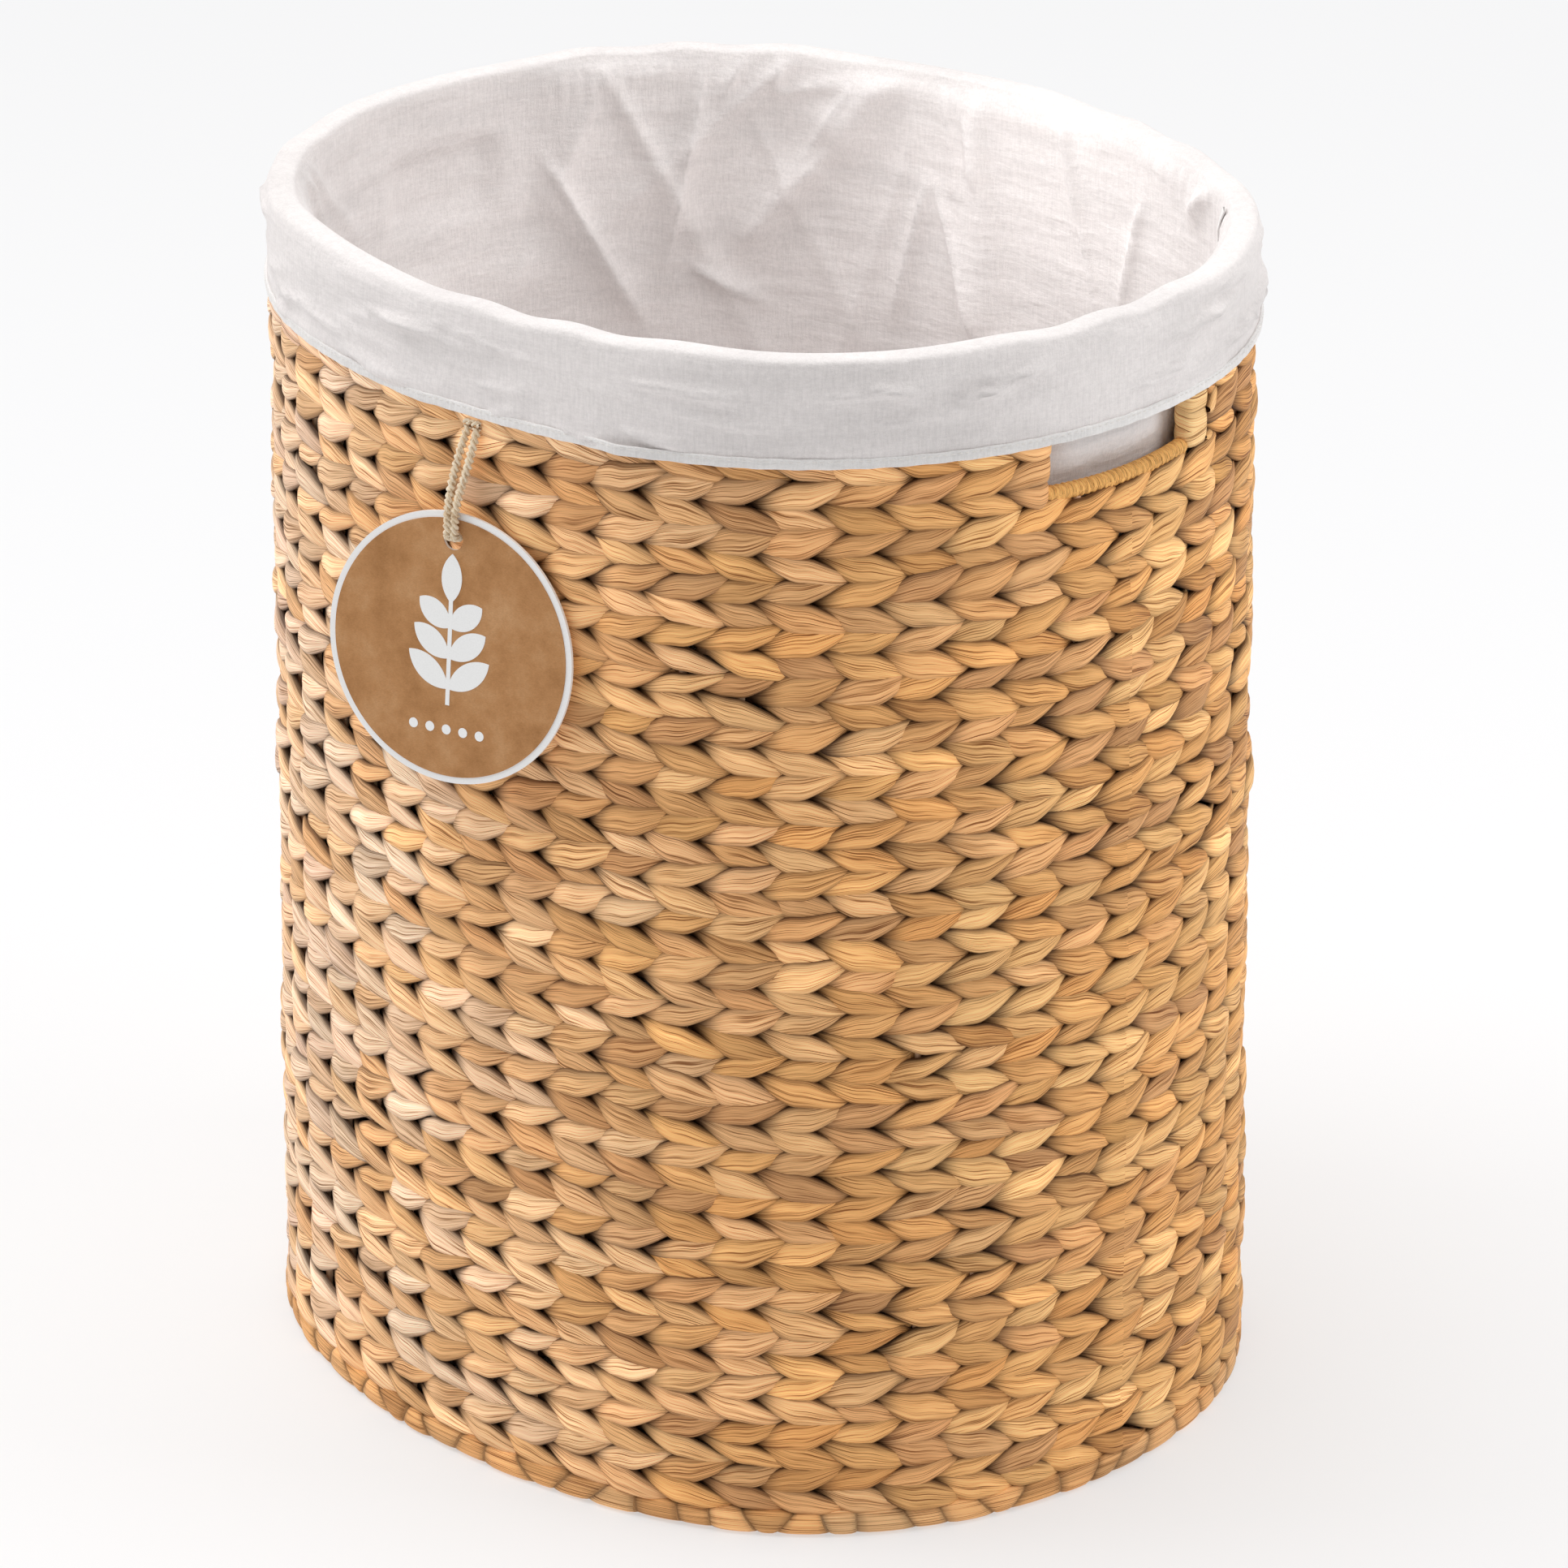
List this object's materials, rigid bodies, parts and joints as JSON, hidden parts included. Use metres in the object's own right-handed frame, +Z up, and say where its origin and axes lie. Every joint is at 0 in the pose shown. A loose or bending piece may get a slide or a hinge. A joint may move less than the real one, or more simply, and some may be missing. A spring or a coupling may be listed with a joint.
{
  "type": "woven laundry basket",
  "caption": "Tall oval laundry basket in arrow-twined water hyacinth over a wire frame, with hand holes in its ends, a lift-out cloth liner folded over the rim, and a hanging tag.",
  "frame": {"origin": "the centre of the oval base, on the floor plane", "axes": "+Z is up, X runs along the oval's long side through both hand holes, and Y across it; the tag hangs on the -Y side"},
  "size_m": [0.5084, 0.474, 0.6055],
  "materials": {
    "steel_wire": "thin dark powder coat over 4 mm steel wire, hidden in the weave",
    "hyacinth_weave": "dried water hyacinth strands, straw to honey with greyish and orange leaves, satin, fibres running along each strand",
    "hyacinth_inner": "inside of the same strands, a little duller",
    "hyacinth_stake": "twisted hyacinth stakes, hidden inside the weave",
    "hyacinth_binding": "flat hyacinth strand wound crosswise round the hoops and posts",
    "handle_cord": "fine golden strand wound tightly round the handle rail",
    "base_strips": "flat plaited hyacinth strips",
    "liner_cloth": "off-white cotton sheeting, plain weave, matt, creased from folding",
    "liner_thread": "off-white cotton, doubled and stitched",
    "tag_card": "smooth white card",
    "tag_kraft": "brown kraft paper with faint mottling",
    "tag_print": "flat white print",
    "jute": "two-ply jute twine, hairy, pale straw"
  },
  "bodies": {
    "basket": {"base_edge_binding": "hyacinth_binding", "base_strips_crosswise": "base_strips", "base_strips_lengthwise": "base_strips", "base_cross_rods": "steel_wire", "base_hoop": "steel_wire", "frame_uprights": "steel_wire", "handle_posts": "steel_wire", "rim_hoop": "steel_wire", "stakes": "hyacinth_stake", "arrow_course_01": "hyacinth_weave", "arrow_course_02": "hyacinth_weave", "arrow_course_03": "hyacinth_weave", "arrow_course_04": "hyacinth_weave", "arrow_course_05": "hyacinth_weave", "arrow_course_06": "hyacinth_weave", "arrow_course_07": "hyacinth_weave", "arrow_course_08": "hyacinth_weave", "arrow_course_09": "hyacinth_weave", "arrow_course_10": "hyacinth_weave", "arrow_course_11": "hyacinth_weave", "arrow_course_12": "hyacinth_weave", "arrow_course_13": "hyacinth_weave", "arrow_course_14": "hyacinth_weave", "arrow_course_15": "hyacinth_weave", "arrow_course_16": "hyacinth_weave", "arrow_course_17": "hyacinth_weave", "arrow_course_18": "hyacinth_weave", "arrow_course_19": "hyacinth_weave", "arrow_course_20": "hyacinth_weave", "arrow_course_21": "hyacinth_weave", "arrow_course_22": "hyacinth_weave", "arrow_course_23": "hyacinth_weave", "arrow_course_24": "hyacinth_weave", "inner_face_strands": "hyacinth_inner", "rim_binding": "hyacinth_binding", "handle_rails": "steel_wire", "handle_rail_wraps": "handle_cord", "handle_post_wraps": "hyacinth_binding"},
    "liner": {"liner_bag_wall": "liner_cloth", "liner_rim_fold": "liner_cloth", "liner_cuff": "liner_cloth", "liner_floor_panel": "liner_cloth", "liner_floor_seam": "liner_thread", "liner_side_seam": "liner_thread", "liner_cuff_hem": "liner_thread"},
    "tag_tie": {"twine_bight": "jute"},
    "hang_tag": {"tag_twine": "jute", "tag_twine_knot": "jute", "tag_backing_card": "tag_card", "tag_kraft_face": "tag_kraft", "tag_print": "tag_print"}
  },
  "joints": [
    {"name": "liner_lift", "type": "slide", "parent": "basket", "child": "liner", "axis": [0, 0, 1], "range_m": [0, 0.62]},
    {"name": "tag_swing", "type": "hinge", "parent": "basket", "child": "tag_tie", "pos_m": [0.03126, -0.21545, 0.5484], "axis": [0.0898, -0.996, 0], "range_deg": [-15, 15]},
    {"name": "tag_lift", "type": "hinge", "parent": "tag_tie", "child": "hang_tag", "pos_m": [0.03126, -0.21545, 0.5484], "axis": [-0.996, -0.0898, 0], "range_deg": [0, 80]}
  ]
}
